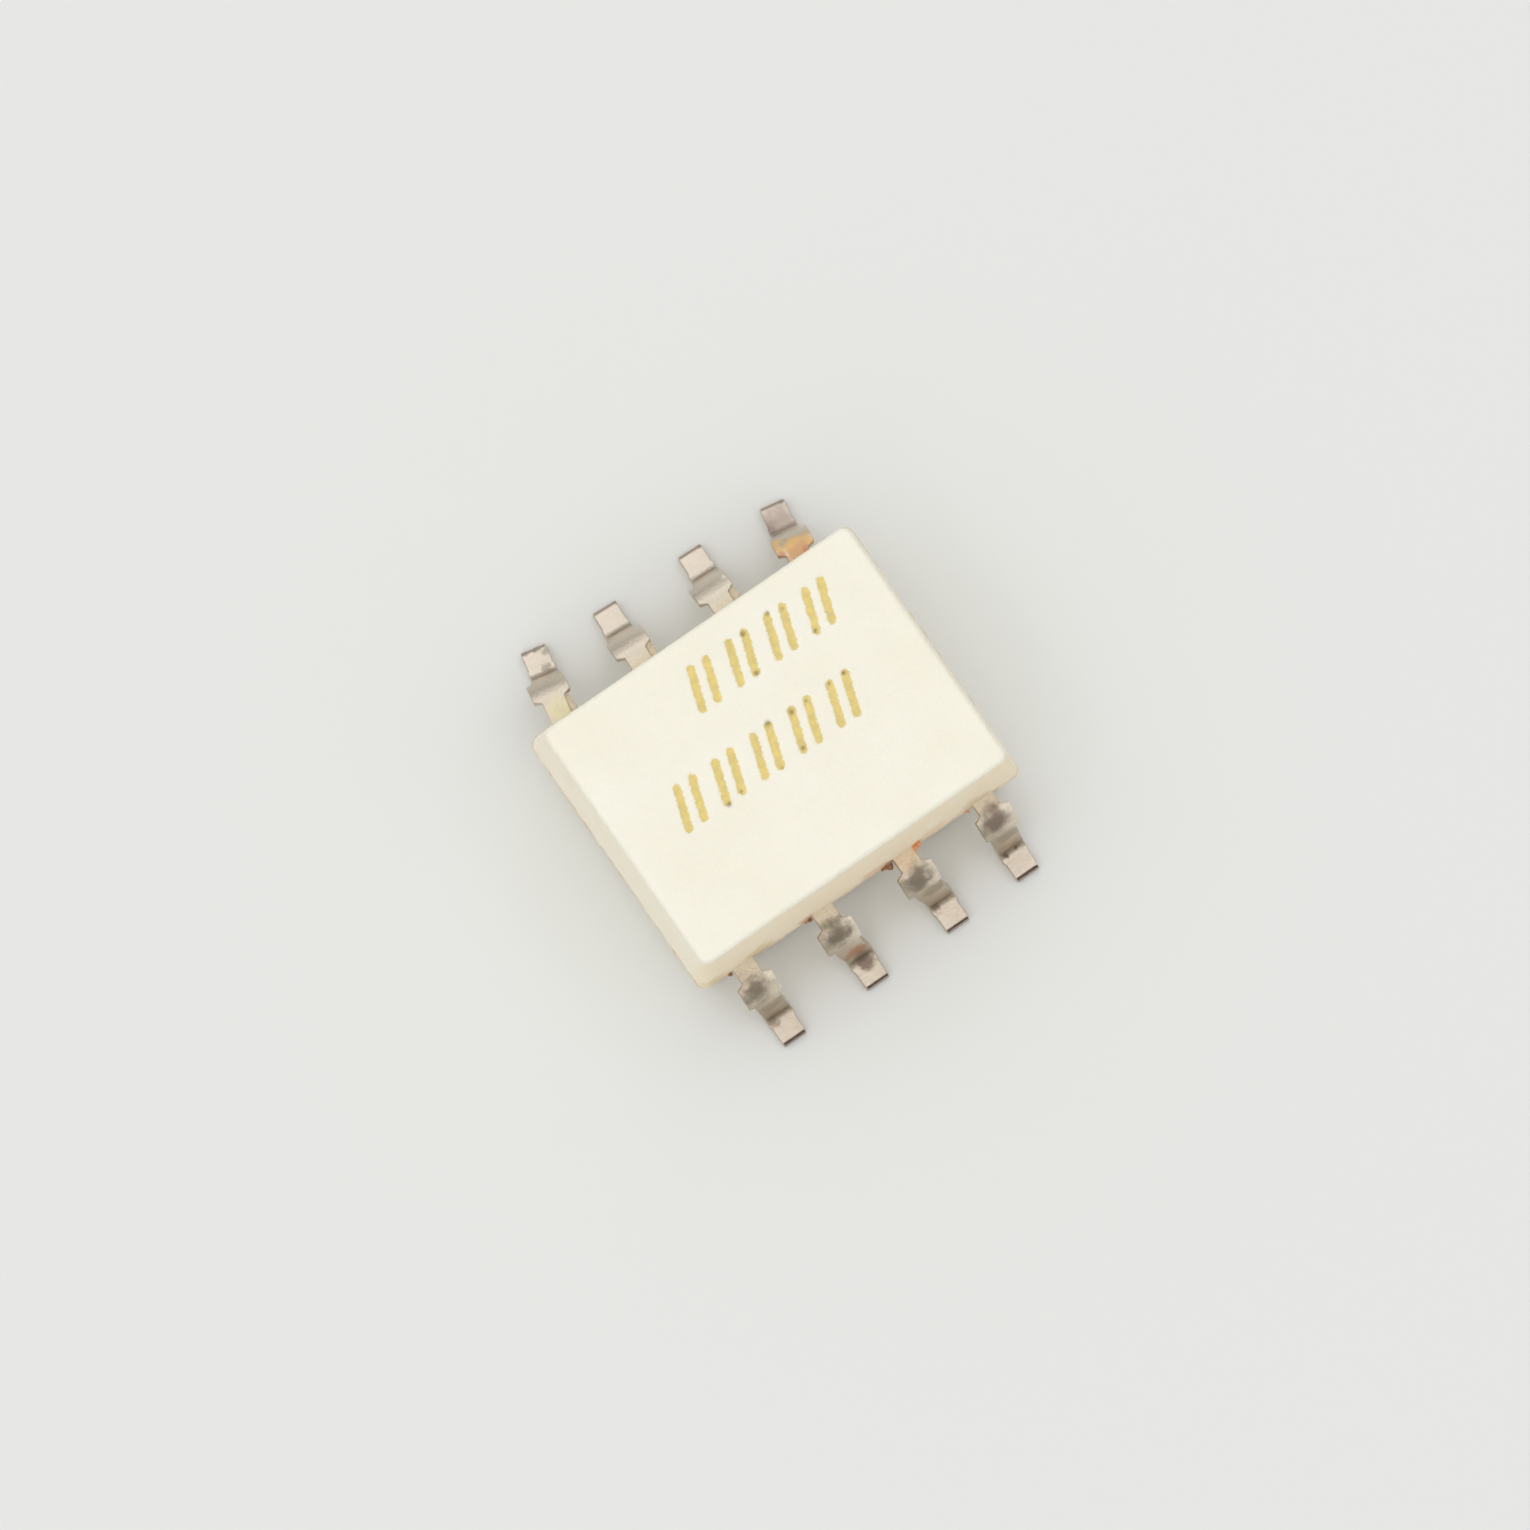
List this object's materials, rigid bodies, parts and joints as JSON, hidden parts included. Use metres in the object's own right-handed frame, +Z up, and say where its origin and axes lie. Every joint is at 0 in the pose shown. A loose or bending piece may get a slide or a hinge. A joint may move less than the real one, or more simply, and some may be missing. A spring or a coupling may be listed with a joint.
{
  "type": "small-outline optocoupler chip",
  "caption": "Small-outline surface-mount chip: a cream moulded body with two rows of gull-wing leads, holding a light emitter over a detector.",
  "frame": {"origin": "centre of the seating plane under the feet", "axes": "+X along the rows of leads, from lead 1 to lead 4; +Y across the body, to the row of leads 5 to 8; +Z up, away from the board"},
  "size_m": [0.005, 0.0062, 0.0025],
  "materials": {
    "mould": "cream moulding resin, fine and matt, drafted walls, yellowed seam at the parting line",
    "coupling_resin": "clear to milky coupling resin, out of sight inside the mould body",
    "lead_strip": "tinned lead-frame strip, dull and tarnished, pinkish on the feet",
    "die": "polished semiconductor",
    "paste": "silver-filled bonding paste",
    "bond_wire": "drawn gold wire"
  },
  "bodies": {
    "root": {"mould_body": "mould", "coupling_block": "coupling_resin", "lead_1": "lead_strip", "lead_2": "lead_strip", "lead_3": "lead_strip", "lead_4": "lead_strip", "lead_5": "lead_strip", "lead_6": "lead_strip", "lead_7": "lead_strip", "lead_8": "lead_strip", "emitter_die": "die", "emitter_paste": "paste", "detector_die": "die", "detector_paste": "paste", "emitter_wire": "bond_wire", "ground_wire": "bond_wire", "output_wire": "bond_wire", "base_wire": "bond_wire", "supply_wire": "bond_wire"}
  },
  "joints": []
}
